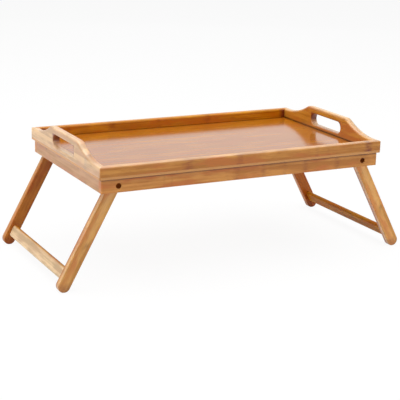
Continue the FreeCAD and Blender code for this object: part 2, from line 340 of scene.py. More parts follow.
def mirror_and_thicken(bm, axis, thickness):
    """Mirrors a flat half across the middle and gives the whole face its thickness."""
    bmesh.ops.mirror(
        bm, geom=whole(bm), matrix=Matrix.Identity(4), merge_dist=SEAM_SLACK, axis=axis,
    )
    made = bmesh.ops.extrude_face_region(bm, geom=bm.faces[:])
    bmesh.ops.translate(bm, vec=thickness, verts=only(BMVert, made["geom"]))
    bmesh.ops.recalc_face_normals(bm, faces=bm.faces)


def round_upright_corner(bm, corner, toward, radius, steps):
    """Planes off an upright corner in facets that touch a cylinder; toward points to the middle."""
    centre = corner + toward * radius
    for step in range(steps):
        angle = QUARTER * (step + 0.5) / steps
        outward = Vector((-toward.x * math.cos(angle), -toward.y * math.sin(angle), 0))
        saw_off(bm, centre + outward * radius, outward)


# ---- Boards of the tray ----

def tray_corner(side_x, side_y):
    """A corner of the tray's plan, and the diagonal that points from it to the middle."""
    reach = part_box("tray_panel")[1]
    return Vector((side_x * reach.x, side_y * reach.y, 0)), Vector((-side_x, -side_y, 0))


def rail_mesh(node, sizes):
    """A rail with rounded top edges, cut at 45 degrees at both ends."""
    low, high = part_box(node)
    side, _, inner = sides_of(node, "y")
    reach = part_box("tray_panel")[1].x
    bm = solid_box(Vector((-reach, low.y, low.z)), Vector((reach, high.y, high.z)))
    along = [e for e in bm.edges if abs(e.verts[0].co.x - e.verts[1].co.x) > reach]
    top = [e for e in along if e.verts[0].co.z > high.z - TINY]
    foot = [e for e in along if e not in top and abs(e.verts[0].co.y - inner) < TINY]
    round_edges(bm, top, sizes.top_rounding, sizes.rounding_steps)
    foot = [e for e in foot if e.is_valid]
    round_edges(bm, foot, sizes.foot_rounding, 2)
    for side_x in (-1, 1):
        corner, toward = tray_corner(side_x, side)
        round_upright_corner(bm, corner, toward, sizes.corner_rounding, sizes.rounding_steps)
        saw_off(bm, corner, Vector((side_x, -side, 0)).normalized())
    return bm


def end_board_mesh(node, sizes):
    """An end board with its ogee-topped handle and finger slot, mitred at both corners."""
    low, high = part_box(node)
    side, outer, inner = sides_of(node, "x")
    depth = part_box("tray_panel")[1].y
    foot, crest = low.z, high.z
    shoulder = foot + sizes.rail_height
    rise = crest - shoulder
    both_radii = (rise ** 2 + sizes.ogee_run ** 2) / (2 * rise)
    turn = math.asin(sizes.ogee_run / both_radii)
    hollow = both_radii - sizes.crest_radius
    crest_y = sizes.crest_half_length
    ogee_y = crest_y + sizes.ogee_run
    slot_radius = sizes.slot_height / 2
    slot_y = sizes.slot_length / 2 - slot_radius
    slot_z = foot + sizes.slot_sill + slot_radius
    steps = sizes.rounding_steps

    bm = bmesh.new()
    half = Tracer(bm, (outer, 0, crest))
    half.run((outer, crest_y, crest))
    half.swing((outer, crest_y, crest - sizes.crest_radius), RIGHT, -turn, steps)
    half.swing((outer, ogee_y, shoulder + hollow), RIGHT, turn, 2 * steps)
    half.run((outer, depth, shoulder))
    half.run((outer, depth, foot))
    half.run((outer, 0, foot))
    half.run((outer, 0, slot_z - slot_radius))
    half.run((outer, slot_y, slot_z - slot_radius))
    half.swing((outer, slot_y, slot_z), RIGHT, math.pi, 4 * steps)
    half.run((outer, 0, slot_z + slot_radius))
    half.close()
    mirror_and_thicken(bm, "Y", Vector((inner - outer, 0, 0)))

    def on_a_face(edge):
        start, end = edge.verts[0].co, edge.verts[1].co
        return abs(start.x - end.x) < TINY and not (abs(start.y) < TINY and abs(end.y) < TINY)

    def around_slot(point):
        level = abs(point.z - slot_z) < slot_radius + TINY
        return level and abs(point.y) < sizes.slot_length / 2 + TINY

    rims = [e for e in bm.edges if on_a_face(e)]
    slot_rim = [e for e in rims if all(around_slot(v.co) for v in e.verts)]
    top_rim = [e for e in rims if all(v.co.z > shoulder - TINY for v in e.verts) and e not in slot_rim]
    round_edges(bm, top_rim, sizes.top_rounding, steps)
    slot_rim = [e for e in slot_rim if e.is_valid]
    round_edges(bm, slot_rim, sizes.slot_rounding, 4)
    at_foot = edges_where(bm, lambda p: abs(p.z - foot) < TINY and abs(p.x - inner) < TINY)
    round_edges(bm, at_foot, sizes.foot_rounding, 2)
    for side_y in (-1, 1):
        corner, toward = tray_corner(side, side_y)
        round_upright_corner(bm, corner, toward, sizes.corner_rounding, steps)
        saw_off(bm, corner, Vector((-side, side_y, 0)).normalized())
    return bm


def panel_mesh(node, sizes):
    """The thin panel that the frame stands on, flush with its outer faces."""
    low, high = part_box(node)
    bm = solid_box(low, high)
    round_edges(bm, upright_edges(bm, lambda p: True), sizes.corner_rounding, sizes.rounding_steps)
    rim = edges_where(bm, lambda p: p.z < low.z + TINY)
    round_edges(bm, rim, sizes.panel_easing, 2)
    return bm


# ---- Aprons ----

def bolt_recess(bm, centre, inward, sizes, bore_depth):
    """Sinks the recess for a bolt's head, and its bore, into the flat face around centre."""
    for point in (centre - RIGHT * PATCH_HALF_WIDTH, centre + RIGHT * PATCH_HALF_WIDTH):
        bmesh.ops.bisect_plane(
            bm, geom=whole(bm), dist=CUT_SLACK, plane_co=point, plane_no=RIGHT,
        )
    faces = [f for f in bm.faces if f.normal.dot(inward) < -0.9]
    face = min(faces, key=lambda f: (f.calc_center_median() - centre).length)
    around = list(face.edges)
    bmesh.ops.delete(bm, geom=[face], context="FACES_ONLY")
    place = Matrix.Translation(centre) @ Matrix.Rotation(QUARTER, 4, "X")
    made = bmesh.ops.create_circle(
        bm, cap_ends=False, segments=RECESS_FACETS, radius=sizes.recess_radius, matrix=place,
    )
    rim = list({e for v in made["verts"] for e in v.link_edges})
    bmesh.ops.triangle_fill(bm, use_beauty=True, edges=around + rim)
    middle = Matrix.Translation(-centre)
    narrowing = sizes.bolt_bore / sizes.recess_radius
    for depth, scale in ((sizes.recess_depth, 1), (0, narrowing), (bore_depth, 1)):
        grown = bmesh.ops.extrude_edge_only(bm, edges=rim)["geom"]
        verts = only(BMVert, grown)
        rim = only(BMEdge, grown)
        bmesh.ops.scale(bm, vec=(scale, 1, scale), space=middle, verts=verts)
        bmesh.ops.translate(bm, vec=inward * depth, verts=verts)
    bmesh.ops.edgeloop_fill(bm, edges=rim)


def side_apron_mesh(node, sizes):
    """A long apron with eased lower edges and outer corners, recessed for two pivot bolts."""
    low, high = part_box(node)
    side, outer, _ = sides_of(node, "y")
    bm = solid_box(low, high)
    eased = edges_where(bm, lambda p: p.z < low.z + TINY)
    eased += upright_edges(bm, lambda p: abs(p.y - outer) < TINY)
    round_edges(bm, eased, sizes.apron_easing, 3)
    bm.normal_update()
    bore_depth = high.y - low.y - sizes.recess_depth - BORE_WALL
    for hinge in HINGES.values():
        bolt_recess(bm, Vector((hinge.x, outer, hinge.z)), BACK * -side, sizes, bore_depth)
    return bm


def end_apron_mesh(node, sizes):
    """A short apron with the bevel on its inner lower edge that the splayed legs lean on."""
    low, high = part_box(node)
    side, outer, inner = sides_of(node, "x")
    bm = solid_box(low, high)
    foot = edges_where(bm, lambda p: p.z < low.z + TINY and abs(p.x - outer) < TINY)
    round_edges(bm, foot, sizes.apron_easing, 3)
    outward = Vector((-side * math.cos(sizes.splay), 0, -math.sin(sizes.splay)))
    saw_off(bm, Vector((inner, 0, low.z + sizes.stop_bevel)), outward)
    return bm


# ---- Leg frames, drawn upright with the pivot at the origin ----

def stand(bm, side, sizes):
    """Leans an upright piece out by the splay and hangs it on the pivots of its side."""
    lean = Matrix.Rotation(-side * sizes.splay, 3, "Y")
    bmesh.ops.rotate(bm, cent=(0, 0, 0), matrix=lean, verts=bm.verts)
    pivot = HINGES["right_leg_frame" if side > 0 else "left_leg_frame"]
    bmesh.ops.translate(bm, vec=pivot, verts=bm.verts)


def leg_mesh(node, sizes):
    """A bar with round ends, bored for its bolt, with a pocket for the nut on its inner side."""
    side = sides_of(node, "x")[0]
    _, outer, inner = sides_of(node, "y")
    radius = sizes.leg_width / 2
    bore = sizes.bolt_bore
    reach = sizes.foot_reach
    steps = 2 * sizes.rounding_steps

    bm = bmesh.new()
    half = Tracer(bm, (0, outer, radius))
    half.swing((0, outer, 0), BACK, QUARTER, steps)
    half.run((radius, outer, -reach))
    half.swing((0, outer, -reach), BACK, QUARTER, steps)
    half.run((0, outer, -bore))
    half.swing((0, outer, 0), BACK, -math.pi, steps)
    half.close()
    mirror_and_thicken(bm, "X", Vector((0, inner - outer, 0)))

    def around(edge):
        start, end = edge.verts
        flat = abs(start.co.y - end.co.y) < TINY
        middle = abs(start.co.x) < TINY and abs(end.co.x) < TINY
        return flat and not middle and min(start.co.xz.length, end.co.xz.length) > bore + TINY

    round_edges(bm, [e for e in bm.edges if around(e)], sizes.leg_easing, 3)

    walls = [f for f in bm.faces if all(v.co.xz.length < bore + TINY for v in f.verts)]
    bmesh.ops.delete(bm, geom=walls, context="FACES_ONLY")
    rims = {}
    for level in (outer, inner):
        rims[level] = edges_where(bm, lambda p: p.xz.length < bore + TINY and abs(p.y - level) < TINY)
    floor = inner + (sizes.nut_pocket_depth if outer > inner else -sizes.nut_pocket_depth)
    mouth = list({v for e in rims[inner] for v in e.verts})
    widen = sizes.nut_pocket_radius / bore
    bmesh.ops.scale(bm, vec=(widen, 1, widen), verts=mouth)
    lips = []
    for level, rim in rims.items():
        grown = bmesh.ops.extrude_edge_only(bm, edges=rim)["geom"]
        bmesh.ops.translate(bm, vec=(0, floor - level, 0), verts=only(BMVert, grown))
        lips += only(BMEdge, grown)
    bmesh.ops.bridge_loops(bm, edges=lips)
    stand(bm, side, sizes)
    saw_off(bm, Vector((0, 0, 0)), -UP)
    return bm


def crossbar_mesh(node, sizes):
    """A flat bar with rounded edges between the two legs of a frame."""
    side = sides_of(node, "x")[0]
    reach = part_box("back_right_leg" if side > 0 else "back_left_leg")[0].y
    half_width = sizes.crossbar_width / 2
    half_thickness = sizes.crossbar_thickness / 2
    low = Vector((-half_thickness, -reach, -sizes.crossbar_reach - half_width))
    high = Vector((half_thickness, reach, -sizes.crossbar_reach + half_width))
    bm = solid_box(low, high)
    along = [e for e in bm.edges if abs(e.verts[0].co.y - e.verts[1].co.y) > reach]
    round_edges(bm, along, sizes.crossbar_rounding, sizes.rounding_steps)
    stand(bm, side, sizes)
    return bm


# ---- Materials ----

# How finely each part of the figure changes along, across and through the cane, per metre.
STREAKS = (3.0, 230.0, 230.0)
FIBRES = (14.0, 1500.0, 1500.0)
CLOUDS = (22.0, 60.0, 90.0)
BLUSHES = (16.0, -45.0, 70.0)
PORES = (90.0, 2600.0, 2600.0)
WOBBLE = (120.0, 160.0, 160.0)
PATCHES = (60.0, 330.0, 330.0)
# Half widths of a strewn knot's soft band and of the dark line in it, and how ragged both are.
KNOT_BAND = 0.0085
KNOT_LINE = 0.0022
KNOT_WOBBLE = 0.005
# The darkest and the lightest strips of the painted light tone, as shares of its colour.
DIM_CANE = 0.80
BRIGHT_CANE = 1.24
# Where a band's fade begins, as a share of its reach.
FADE_START = 0.15
RELIEF_STRENGTH = 0.12
RELIEF_DEPTH = 0.0002
WOOD_ROUGHNESS = 0.45
# A coat of varnish, and the gloss of the wood under it.
Varnish = namedtuple("Varnish", "weight index roughness wood_gloss")


class Wiring:
    """The nodes of a material or world, added and joined as its look is built up."""

    def __init__(self, owner):
        owner.use_nodes = True
        self.tree = owner.node_tree
        self.tree.nodes.clear()

    def add(self, kind, **settings):
        node = self.tree.nodes.new(kind)
        for key, value in settings.items():
            setattr(node, key, value)
        return node

    def put(self, value, socket):
        if isinstance(value, bpy.types.NodeSocket):
            self.tree.links.new(value, socket)
        else:
            socket.default_value = value

    def math(self, operation, first, second=0.0, clamp=False):
        node = self.add("ShaderNodeMath", operation=operation, use_clamp=clamp)
        self.put(first, node.inputs[0])
        self.put(second, node.inputs[1])
        return node.outputs[0]

    def sway(self, value, depth):
        """How far a value lies above or below a half, times a depth."""
        return self.math("MULTIPLY", self.math("SUBTRACT", value, 0.5), depth)

    def stretch(self, vector, scale):
        node = self.add("ShaderNodeVectorMath", operation="MULTIPLY")
        self.put(vector, node.inputs[0])
        node.inputs[1].default_value = scale
        return node.outputs[0]

    def noise(self, vector, scale, detail=2.0, roughness=0.5):
        node = self.add("ShaderNodeTexNoise", noise_dimensions="3D")
        self.put(self.stretch(vector, scale), node.inputs["Vector"])
        node.inputs["Scale"].default_value = 1.0
        node.inputs["Detail"].default_value = detail
        node.inputs["Roughness"].default_value = roughness
        return node.outputs["Fac"]

    def ramp(self, value, low, high, to_low=0.0, to_high=1.0):
        node = self.add("ShaderNodeMapRange", interpolation_type="SMOOTHSTEP", clamp=True)
        self.put(value, node.inputs["Value"])
        node.inputs["From Min"].default_value = low
        node.inputs["From Max"].default_value = high
        node.inputs["To Min"].default_value = to_low
        node.inputs["To Max"].default_value = to_high
        return node.outputs["Result"]

    def mix(self, factor, first, second, blend="MIX"):
        node = self.add("ShaderNodeMix", data_type="RGBA", blend_type=blend)
        self.put(factor, node.inputs[0])
        self.put(first, node.inputs[6])
        self.put(second, node.inputs[7])
        return node.outputs[2]


def tinted(color, tint=(1, 1, 1)):
    """A colour times a tint, no channel above 1, with its alpha."""
    return [min(1.0, c * t) for c, t in zip(color, tint)] + [1.0]


def band_along(wire, object_axes, planes, reach, strength):
    """Strength of a band: full inside all its planes, and fading out over its reach beyond them.

    A plane is an axis, a weight and a place. Inside is below the place where the weight is
    positive and above it where it is negative, and a larger weight fades sooner. Along x and y
    the distance from the middle counts, so a band is alike on both sides.
    """
    distance = None
    for axis, weight, place in planes:
        coordinate = object_axes[axis]
        if axis != "z":
            coordinate = wire.math("ABSOLUTE", coordinate)
        away = wire.math("MULTIPLY", wire.math("SUBTRACT", coordinate, place), weight)
        distance = away if distance is None else wire.math("MAXIMUM", distance, away)
    return wire.ramp(distance, FADE_START * reach, reach, strength, 0.0)


def strewn_knots(wire, looks, along, own_numbers, wobble, knots):
    """Strength of the knots that some strips have: a line across the strip in a softer band."""
    spot = wire.math("DIVIDE", along, looks.knot_pitch)
    spot = wire.math("FRACT", wire.math("ADD", spot, own_numbers.outputs[1]))
    away = wire.math("ABSOLUTE", wire.math("SUBTRACT", spot, 0.5))
    away = wire.math("MULTIPLY", away, looks.knot_pitch)
    away = wire.math("ADD", away, wire.sway(wobble, KNOT_WOBBLE))
    band = wire.ramp(away, 0.0005, KNOT_BAND, 0.34 * knots, 0.0)
    line = wire.ramp(away, 0.0003, KNOT_LINE, 0.42 * knots, 0.0)
    knotted = wire.ramp(own_numbers.outputs[2], 0.35, 0.6)
    return wire.math("MULTIPLY", wire.math("MAXIMUM", band, line), knotted)


def marked_knots(wire, looks, grain, along, wobble, marks, color):
    """Adds ragged, patchy knots at definite places along the grain."""
    patches = wire.ramp(wire.noise(grain, PATCHES, detail=2.0), 0.34, 0.62, 0.35, 1.2)
    for place, half_width, strength in marks:
        away = wire.math("ABSOLUTE", wire.math("SUBTRACT", along, place))
        away = wire.math("ADD", away, wire.sway(wobble, 1.6 * half_width))
        share = wire.ramp(away, 0.0, 1.25 * half_width, strength, 0.0)
        share = wire.math("MULTIPLY", share, patches, clamp=True)
        color = wire.mix(share, color, tinted(looks.stain_and_shade))
    return color


def varnish_over(wire, color, relief, varnish):
    """Puts the varnish on the wood's colour and relief."""
    bump = wire.add("ShaderNodeBump")
    bump.inputs["Strength"].default_value = RELIEF_STRENGTH
    bump.inputs["Distance"].default_value = RELIEF_DEPTH
    wire.put(relief, bump.inputs["Height"])
    shader = wire.add("ShaderNodeBsdfPrincipled")
    wire.put(color, shader.inputs["Base Color"])
    wire.put(bump.outputs["Normal"], shader.inputs["Normal"])
    shader.inputs["Roughness"].default_value = WOOD_ROUGHNESS
    shader.inputs["Specular IOR Level"].default_value = varnish.wood_gloss
    shader.inputs["Coat Weight"].default_value = varnish.weight
    shader.inputs["Coat IOR"].default_value = varnish.index
    shader.inputs["Coat Roughness"].default_value = varnish.roughness
    output = wire.add("ShaderNodeOutputMaterial")
    wire.put(shader.outputs[0], output.inputs["Surface"])


def bamboo(name, looks, turn=(0, 0, 0), shift=(0, 0, 0), tint=(1, 1, 1), contrast=1.0, knots=1.0,
           bands=(), varnish=Varnish(0.5, 1.5, 0.15, 0.25), strip_width=None, paling=0.0, marks=(),
           shade_washes=()):
    """Varnished bamboo strips, glued side by side, with their grain along X once turned.

    Each of the marks is a knot at a place along the grain, with its half width and strength.
    A band is its planes, reach, strength and colour. It covers the figure, or lightens it towards the
    painted light tone if it has no colour. A shade wash is its planes, reach and colour, by which
    painted shade deepens the figure.
    """
    material = bpy.data.materials.new(name)
    wire = Wiring(material)
    object_place = wire.add("ShaderNodeTexCoord").outputs["Object"]
    place = wire.add("ShaderNodeMapping", vector_type="POINT")
    wire.put(object_place, place.inputs["Vector"])
    place.inputs["Rotation"].default_value = turn
    place.inputs["Location"].default_value = shift
    grain = place.outputs["Vector"]
    axes = wire.add("ShaderNodeSeparateXYZ")
    wire.put(grain, axes.inputs[0])
    along, across, through = axes.outputs

    # Which strip a point lies in, and that strip's own random numbers.
    strip = wire.math("DIVIDE", across, strip_width or looks.strip_width)
    layer = wire.math("DIVIDE", through, looks.ply)
    index = wire.add("ShaderNodeCombineXYZ")
    wire.put(wire.math("FLOOR", strip), index.inputs[0])
    wire.put(wire.math("FLOOR", layer), index.inputs[1])
    chance = wire.add("ShaderNodeTexWhiteNoise", noise_dimensions="3D")
    wire.put(index.outputs[0], chance.inputs["Vector"])
    own_tone = chance.outputs["Value"]
    own_numbers = wire.add("ShaderNodeSeparateColor")
    wire.put(chance.outputs["Color"], own_numbers.inputs[0])

    # Long streaks, fine fibres and short dark pores along the cane.
    streaks = wire.noise(grain, STREAKS, detail=3.0)
    fibres = wire.noise(grain, FIBRES, detail=2.0)
    clouds = wire.noise(grain, CLOUDS, detail=3.0)
    blush = wire.noise(grain, BLUSHES, detail=2.0)
    pores = wire.noise(grain, PORES, detail=1.0)
    tone = wire.sway(own_tone, 0.6 * contrast)
    for figure, depth in ((streaks, 2.0), (fibres, 0.8), (clouds, 2.4)):
        tone = wire.math("ADD", tone, wire.sway(figure, depth * contrast))
    tone = wire.math("ADD", tone, 0.5, clamp=True)
    color = wire.mix(tone, tinted(looks.deep, tint), tinted(looks.pale, tint))
    blushing = wire.ramp(blush, 0.46, 0.66, 0.0, 0.75 * contrast)
    color = wire.mix(blushing, color, tinted(looks.blush, tint))
    knot_color = tinted(looks.knot)
    color = wire.mix(wire.ramp(pores, 0.62, 0.74, 0.0, 0.25 * contrast), color, knot_color)

    wobble = wire.noise(grain, WOBBLE, detail=2.0)
    strewn = strewn_knots(wire, looks, along, own_numbers, wobble, knots)
    color = wire.mix(strewn, color, knot_color)
    if marks:
        color = marked_knots(wire, looks, grain, along, wobble, marks, color)

    # Glue lines between the strips.
    seam = wire.math("ABSOLUTE", wire.math("SUBTRACT", wire.math("FRACT", strip), 0.5))
    glue = wire.ramp(seam, 0.488, 0.498, 0.0, 0.35 * contrast)
    color = wire.mix(glue, color, knot_color)

    # Painted light on sides, painted shade on inner sides, and bands such as painted shade in joints and
    # corners, and sawn rims.
    split = wire.add("ShaderNodeSeparateXYZ")
    wire.put(object_place, split.inputs[0])
    object_axes = dict(zip("xyz", split.outputs))
    dim = tinted(looks.painted_light_tone, [DIM_CANE] * 3)
    bright = tinted(looks.painted_light_tone, [BRIGHT_CANE] * 3)
    painted_light_tone = wire.mix(tone, dim, bright)
    # Painted light: sides that face the lamps are mixed towards the paler tone.
    if paling:
        lit_side = wire.add("ShaderNodeAttribute", attribute_name="paling").outputs["Fac"]
        color = wire.mix(wire.math("MULTIPLY", lit_side, paling), color, painted_light_tone)
    # Painted shade: each wash multiplies the figure darker where shade falls.
    for planes, reach, shade_tint in shade_washes:
        share = band_along(wire, object_axes, planes, reach, 1.0)
        color = wire.mix(share, color, (*shade_tint, 1.0), "MULTIPLY")
    for planes, reach, strength, band_color in bands:
        share = band_along(wire, object_axes, planes, reach, strength)
        color = wire.mix(share, color, tinted(band_color) if band_color else painted_light_tone)

    relief = wire.math("SUBTRACT", fibres, wire.math("MULTIPLY", glue, 0.8))
    varnish_over(wire, color, relief, varnish)
    return material


def steel(name, color, roughness):
    """Plated steel of the bolts, washers and nuts."""
    material = bpy.data.materials.new(name)
    material.use_nodes = True
    shader = material.node_tree.nodes["Principled BSDF"]
    shader.inputs["Base Color"].default_value = (*color, 1.0)
    shader.inputs["Metallic"].default_value = 1.0
    shader.inputs["Roughness"].default_value = roughness
    return material


def dress_node(node, material):
    """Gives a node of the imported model, whose shape stays, its finish."""
    mesh = frame["nodes"][node].data
    mesh.materials.clear()
    mesh.materials.append(material)


# ---- Operators, one for each piece or group of like pieces ----

class TRAY_OT_rails(Operator):
    """Make the front and back rails"""

    bl_idname = "tray.rails"
    bl_label = "Front and Back Rails"

    def execute(self, context):
        sizes, looks = context.scene.tray_sizes, context.scene.tray_looks
        inner_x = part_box("right_end_board")[0].x
        inner_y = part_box("back_rail")[0].y
        # Painted shade: a dark line along the rails' inner foot by the panel, and a red-brown patch at the
        # inner corners.
        foot = (("z", 1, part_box("back_rail")[0].z), ("y", 1, inner_y))
        corner = (("x", -1, inner_x), ("y", 8, inner_y))
        joints = [(foot, 0.0014, 0.4, looks.joint), (corner, 0.014, 1.0, looks.stain_and_shade)]
        # Place along the rail, half width and strength of each knot.
        knots = {
            "front_rail": ((-0.105, 0.011, 0.5), (-0.016, 0.008, 0.36), (0.126, 0.005, 0.18),
                           (0.147, 0.005, 0.18), (0.225, 0.008, 0.8)),
            "back_rail": ((-0.190, 0.007, 0.3), (-0.108, 0.010, 0.33), (-0.019, 0.006, 0.25),
                          (0.077, 0.008, 0.35)),
        }
        varnishes = {
            "front_rail": Varnish(0.6, 1.5, 0.15, 0.2), "back_rail": Varnish(0.2, 1.5, 0.15, 0.05),
        }
        # Painted shade and warm bounce light: the rails' inner sides are made deeper and redder.
        inner_shade_wash = ((("y", 1, inner_y),), 0.007, (1.08, 0.95, 0.12))
        for node, varnish in varnishes.items():
            # The rails' tops get painted light, through on_top.
            wood = bamboo(
                node + "_bamboo", looks, shift=(0.0, 0.0045, 0.001), tint=(1.0, 0.97, 0.85),
                contrast=1.4, knots=0.25, bands=joints, varnish=varnish, paling=0.4,
                marks=knots[node], shade_washes=(inner_shade_wash,),
            )
            finish_piece(rail_mesh(node, sizes), node + "_board", node, wood, on_top)
        return {"FINISHED"}


class TRAY_OT_end_boards(Operator):
    """Make the two end boards with their handles"""

    bl_idname = "tray.end_boards"
    bl_label = "End Boards with Handles"

    def execute(self, context):
        sizes, looks = context.scene.tray_sizes, context.scene.tray_looks
        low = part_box("right_end_board")[0]
        # Painted shade along the boards' inner foot, by the panel.
        foot = (("z", 1, low.z), ("x", 1, low.x))
        outer_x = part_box("right_end_board")[1].x
        # Painted light on the boards' outer sides.
        lit_outer_side = (("x", -1, outer_x),)
        slot_top = low.z + sizes.slot_sill + sizes.slot_height
        # Painted shade under the slot's roof.
        shaded_slot_roof = (
            ("z", 3, slot_top), ("z", -1, slot_top - 0.45 * sizes.slot_height),
            ("y", 4, sizes.slot_length / 2),
        )
        bands = [
            (lit_outer_side, 0.008, 0.42, None), (shaded_slot_roof, 0.006, 0.85, looks.stain_and_shade),
            (foot, 0.0032, 1.0, looks.joint),
        ]
        # Contrast of each board's figure, and its knots.
        figures = {"left_end_board": (2.0, ((-0.095, 0.008, 0.6),)), "right_end_board": (1.7, ())}
        for node, (contrast, marks) in figures.items():
            wood = bamboo(
                node + "_bamboo", looks, turn=(0, 0, -QUARTER), tint=(1.03, 1.02, 0.68), contrast=contrast,
                knots=0.3, bands=bands, varnish=Varnish(0.7, 1.55, 0.18, 0.15), paling=0.3, marks=marks,
            )
            # The boards' tops get painted light, through on_top.
            finish_piece(
                end_board_mesh(node, sizes), node + "_handle", node, wood, on_top,
            )
        return {"FINISHED"}


class TRAY_OT_panel(Operator):
    """Make the tray's panel"""

    bl_idname = "tray.panel"
    bl_label = "Panel"

    def execute(self, context):
        sizes, looks = context.scene.tray_sizes, context.scene.tray_looks
        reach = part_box("tray_panel")[1]
        rims = [((axis, -1, place),) for axis, place in (("x", reach.x), ("y", reach.y))]
        wood = bamboo(
            "panel_bamboo", looks, tint=(0.74, 0.60, 0.20), contrast=0.6, knots=0.2,
            bands=[(rim, 0.0007, 0.85, looks.rim) for rim in rims], varnish=Varnish(1.0, 1.75, 0.14, 0.0),
        )
        finish_piece(panel_mesh("tray_panel", sizes), "panel_board", "tray_panel", wood)
        return {"FINISHED"}


class TRAY_OT_aprons(Operator):
    """Make the four aprons under the panel"""

    bl_idname = "tray.aprons"
    bl_label = "Aprons"

    def execute(self, context):
        sizes, looks = context.scene.tray_sizes, context.scene.tray_looks
        # Painted shade along the aprons' tops, under the panel's overhang.
        shade_under_panel = ((("z", -1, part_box("tray_panel")[0].z),), 0.004, 0.9, looks.joint)
        pivot = HINGES["right_leg_frame"]
        outer_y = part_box("back_apron")[1].y
        around, behind = 0.005, 0.0012
        in_recess = [
            (axis, sign, getattr(pivot, axis) + sign * around) for axis in "xz" for sign in (1, -1)
        ]
        in_recess.append(("y", 1, outer_y - behind))
        # Painted shade inside the bolt recesses.
        bolt_shade = (in_recess, 0.0006, 0.97, looks.shade)
        # Place along the apron, half width and strength of each knot.
        knots = {
            "front_apron": ((-0.143, 0.0025, 0.15), (-0.130, 0.0025, 0.15), (-0.033, 0.005, 0.15),
                            (-0.018, 0.008, 0.36), (0.030, 0.006, 0.32), (0.069, 0.005, 0.22),
                            (0.108, 0.007, 0.30), (0.168, 0.007, 0.36)),
            "back_apron": ((-0.110, 0.007, 0.4), (0.130, 0.006, 0.3)),
        }
        for node, marks in knots.items():
            wood = bamboo(
                node + "_bamboo", looks, shift=(0.0, 0.002, 0.0), tint=(1.1, 1.05, 1.15), contrast=1.4,
                knots=0.15, bands=(shade_under_panel, bolt_shade), marks=marks,
            )
            finish_piece(side_apron_mesh(node, sizes), node + "_strip", node, wood)
        for node in ("left_apron", "right_apron"):
            # The end aprons' paler, bluer tint is painted light, for the light on their outer sides.
            wood = bamboo(
                node + "_bamboo", looks, turn=(0, 0, -QUARTER), tint=(0.95, 1.13, 3.0), contrast=1.3,
                bands=(shade_under_panel,),
            )
            finish_piece(end_apron_mesh(node, sizes), node + "_strip", node, wood)
        return {"FINISHED"}


class TRAY_OT_legs(Operator):
    """Make the four legs"""

    bl_idname = "tray.legs"
    bl_label = "Legs"

    def execute(self, context):
        sizes, looks = context.scene.tray_sizes, context.scene.tray_looks
        # Tint of the frame's wood, painted shade on its legs' inner sides, and lean of the grain.
        woods = {
            "left": ((1.16, 1.30, 1.60), (0.72, 0.49, 0.25), QUARTER - sizes.splay),
            "right": ((1.35, 1.53, 2.05), (0.59, 0.32, 0.11), QUARTER + sizes.splay),
        }
        varnishes = {"front": Varnish(0.8, 1.55, 0.16, 0.1), "back": Varnish(0.3, 1.45, 0.2, 0.1)}
        # Painted shade on the legs' inner sides.
        shaded_inner_side = (("y", 1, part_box("back_left_leg")[0].y),)
        # Darker towards the feet.
        darker_feet = ((("z", 1, 0.002),), 0.016, 0.4, looks.stain_and_shade)
        for side, (tint, inner_shade, lean) in woods.items():
            pivot = Matrix.Rotation(lean, 3, "Y") @ HINGES[side + "_leg_frame"]
            for end in varnishes:
                node = f"{end}_{side}_leg"
                wood = bamboo(
                    node + "_bamboo", looks, turn=(0, lean, 0), shift=-pivot, tint=tint, contrast=1.4,
                    varnish=varnishes[end], strip_width=0.006, paling=0.28, bands=(darker_feet,),
                    shade_washes=((shaded_inner_side, 0.011, inner_shade),),
                )
                # The legs' left and right sides, tops and soles get painted light, through on_sides.
                finish_piece(leg_mesh(node, sizes), node + "_bar", node, wood, on_sides)
        return {"FINISHED"}


class TRAY_OT_crossbars(Operator):
    """Make the crossbars that join each pair of legs"""

    bl_idname = "tray.crossbars"
    bl_label = "Crossbars"

    def execute(self, context):
        sizes, looks = context.scene.tray_sizes, context.scene.tray_looks
        for side, node in ((-1, "left_crossbar"), (1, "right_crossbar")):
            wood = bamboo(
                node + "_bamboo", looks, turn=(0, 0, -QUARTER), tint=(0.86, 0.80, 0.28), contrast=1.6,
                varnish=Varnish(0.15, 1.45, 0.25, 0.05), paling=0.8,
            )
            # The crossbars' outer sides get painted light, through on_outer_side.
            mesh = crossbar_mesh(node, sizes)
            finish_piece(mesh, node + "_bar", node, wood, on_outer_side(side))
        return {"FINISHED"}


class TRAY_OT_hardware(Operator):
    """Give bolts, washers, nuts and hidden joinery their finish"""

    bl_idname = "tray.hardware"
    bl_label = "Pivot Hardware and Joinery"

    def execute(self, context):
        dark = steel("bolt_steel", color=(0.105, 0.022, 0.003), roughness=0.42)
        plated = steel("washer_and_nut_steel", color=(0.62, 0.60, 0.57), roughness=0.32)
        bare = bamboo("joint_bamboo", context.scene.tray_looks, varnish=Varnish(0.0, 1.5, 0.5, 0.5))
        finishes = {"pivot_bolt": dark, "pivot_washer": plated, "pivot_nut": plated}
        for node in frame["nodes"]:
            # Pieces of a corner are named after it, such as front_left_pivot_bolt.
            kind = node.split("_", 2)[2] if node.count("_") > 1 else ""
            if kind in finishes:
                dress_node(node, finishes[kind])
            elif kind == "corner_key" or "dowel" in kind:
                dress_node(node, bare)
        return {"FINISHED"}


